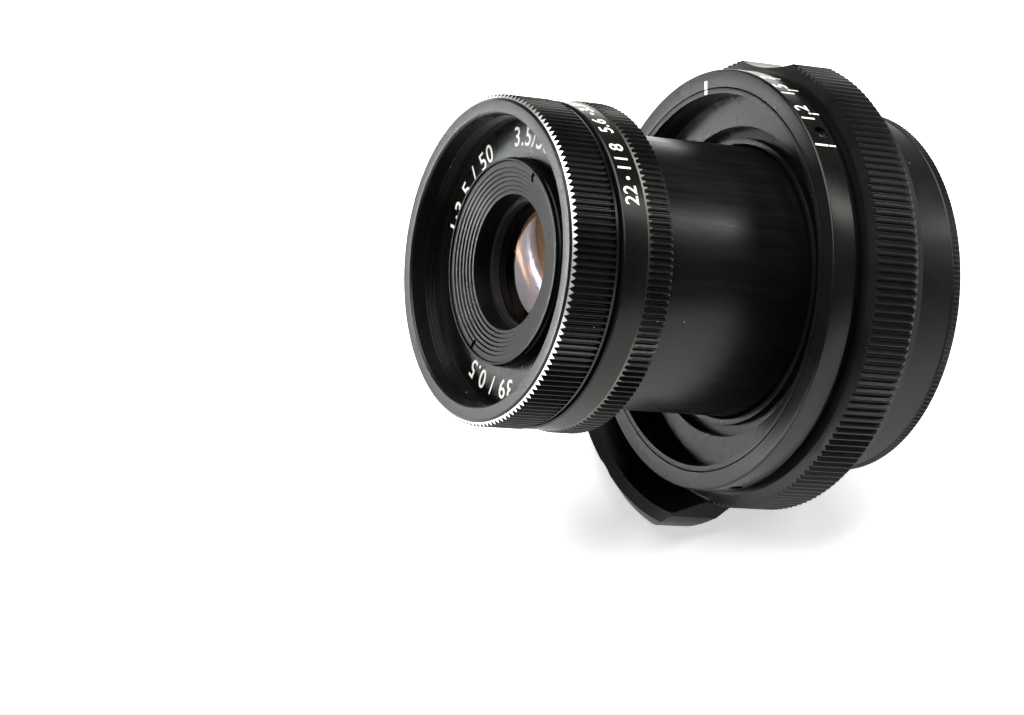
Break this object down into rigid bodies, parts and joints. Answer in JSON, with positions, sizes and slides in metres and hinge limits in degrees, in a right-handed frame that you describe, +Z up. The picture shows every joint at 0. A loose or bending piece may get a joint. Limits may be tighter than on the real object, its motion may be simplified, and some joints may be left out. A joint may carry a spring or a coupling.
{
  "type": "enlarger lens",
  "caption": "Short lens head on a collapsible tube in a focusing bayonet mount, with click-stop aperture ring, iris, finger tab and twist-off rear cap.",
  "frame": {"origin": "centre of the bayonet flange seat, on the optical axis", "axes": "+Z up and -Y towards the front, with the lens lying at rest on its finger tab and rear cap: the optical axis points to -Y and 26.81 degrees upwards; +X is to the right seen from the front"},
  "size_m": [0.0626, 0.0751, 0.0693],
  "materials": {
    "black_metal": "satin black anodised, fine grain",
    "bright_steel": "plated, fine turned",
    "screw_steel": "turned",
    "brass": "bare, greased thread",
    "felt": "pressed felt",
    "coated_glass": "polished, single purple-brown coating",
    "clear_glass": "polished",
    "blade_steel": "blued, dry",
    "white_paint": "white paint filled into engraving",
    "black_plastic": "satin moulded"
  },
  "bodies": {
    "mount": {"bayonet_flange": "bright_steel", "mount_body": "black_metal", "flange_screws": "screw_steel", "guide_key": "brass", "focus_stop_pin": "screw_steel"},
    "focus_ring": {"focus_ring": "black_metal", "focus_helicoid": "brass", "ring_retainer": "black_metal", "retainer_screws": "screw_steel"},
    "focus_barrel": {"inner_barrel": "brass", "guide_collar": "black_metal", "scale_barrel": "black_metal", "scale_screws": "screw_steel", "trim_ring": "black_metal"},
    "tube_guide": {"friction_ring": "felt"},
    "head": {"collapsible_tube": "black_metal", "tube_stop_ring": "black_metal", "head_barrel": "black_metal", "click_ball": "screw_steel", "click_spring": "screw_steel", "front_bezel": "black_metal", "name_ring": "black_metal", "front_cell": "black_metal", "baffle_ring": "black_metal", "front_glass_ring": "black_metal", "front_element": "coated_glass", "second_element": "coated_glass", "second_glass_ring": "black_metal", "rear_cell": "black_metal", "rear_element_front": "clear_glass", "rear_element_back": "clear_glass", "rear_glass_ring": "black_metal", "iris_base_plate": "black_metal"},
    "aperture_ring": {"aperture_ring": "black_metal", "iris_cam_ring": "black_metal", "coupling_pin": "screw_steel"},
    "rear_cap": {"rear_cap": "black_plastic"},
    "blade_1": {"iris_blade_1": "blade_steel"},
    "blade_2": {"iris_blade_2": "blade_steel"},
    "blade_3": {"iris_blade_3": "blade_steel"},
    "blade_4": {"iris_blade_4": "blade_steel"},
    "blade_5": {"iris_blade_5": "blade_steel"},
    "blade_6": {"iris_blade_6": "blade_steel"},
    "blade_7": {"iris_blade_7": "blade_steel"},
    "blade_8": {"iris_blade_8": "blade_steel"}
  },
  "joints": [
    {"name": "focus_turn", "type": "hinge", "parent": "mount", "child": "focus_ring", "pos_m": [0, 0, 0], "axis": [0, -0.8925, 0.451], "range_deg": [-70, 0]},
    {"name": "focus_slide", "type": "slide", "parent": "mount", "child": "focus_barrel", "axis": [0, -0.8925, 0.451], "range_m": [0, 0.00264]},
    {"name": "tube_twist", "type": "hinge", "parent": "focus_barrel", "child": "tube_guide", "pos_m": [0, 0, 0], "axis": [0, -0.8925, 0.451], "range_deg": [0, 30]},
    {"name": "tube_slide", "type": "slide", "parent": "tube_guide", "child": "head", "axis": [0, -0.8925, 0.451], "range_m": [-0.0115, 0]},
    {"name": "aperture_turn", "type": "hinge", "parent": "head", "child": "aperture_ring", "pos_m": [0, 0, 0], "axis": [0, -0.8925, 0.451], "range_deg": [0, 36]},
    {"name": "cap_twist", "type": "hinge", "parent": "mount", "child": "rear_cap", "pos_m": [0, 0, 0], "axis": [0, -0.8925, 0.451], "range_deg": [0, 50]},
    {"name": "blade_1_pivot", "type": "hinge", "parent": "head", "child": "blade_1", "pos_m": [0.0134, -0.03231, 0.01633], "axis": [0, -0.8925, 0.451], "range_deg": [0, 27.7]},
    {"name": "blade_2_pivot", "type": "hinge", "parent": "head", "child": "blade_2", "pos_m": [0.00948, -0.02804, 0.02478], "axis": [0, -0.8925, 0.451], "range_deg": [0, 27.7]},
    {"name": "blade_3_pivot", "type": "hinge", "parent": "head", "child": "blade_3", "pos_m": [0, -0.02627, 0.02829], "axis": [0, -0.8925, 0.451], "range_deg": [0, 27.7]},
    {"name": "blade_4_pivot", "type": "hinge", "parent": "head", "child": "blade_4", "pos_m": [-0.00948, -0.02804, 0.02478], "axis": [0, -0.8925, 0.451], "range_deg": [0, 27.7]},
    {"name": "blade_5_pivot", "type": "hinge", "parent": "head", "child": "blade_5", "pos_m": [-0.0134, -0.03231, 0.01633], "axis": [0, -0.8925, 0.451], "range_deg": [0, 27.7]},
    {"name": "blade_6_pivot", "type": "hinge", "parent": "head", "child": "blade_6", "pos_m": [-0.00948, -0.03658, 0.00787], "axis": [0, -0.8925, 0.451], "range_deg": [0, 27.7]},
    {"name": "blade_7_pivot", "type": "hinge", "parent": "head", "child": "blade_7", "pos_m": [0, -0.03835, 0.00437], "axis": [0, -0.8925, 0.451], "range_deg": [0, 27.7]},
    {"name": "blade_8_pivot", "type": "hinge", "parent": "head", "child": "blade_8", "pos_m": [0.00948, -0.03658, 0.00787], "axis": [0, -0.8925, 0.451], "range_deg": [0, 27.7]}
  ],
  "couplings": [
    {"joint": "focus_slide", "follows": "focus_turn", "m_per_rad": -0.002149},
    {"joint": "blade_1_pivot", "follows": "aperture_turn", "ratio": 0.767},
    {"joint": "blade_2_pivot", "follows": "aperture_turn", "ratio": 0.767},
    {"joint": "blade_3_pivot", "follows": "aperture_turn", "ratio": 0.767},
    {"joint": "blade_4_pivot", "follows": "aperture_turn", "ratio": 0.767},
    {"joint": "blade_5_pivot", "follows": "aperture_turn", "ratio": 0.767},
    {"joint": "blade_6_pivot", "follows": "aperture_turn", "ratio": 0.767},
    {"joint": "blade_7_pivot", "follows": "aperture_turn", "ratio": 0.767},
    {"joint": "blade_8_pivot", "follows": "aperture_turn", "ratio": 0.767}
  ]
}
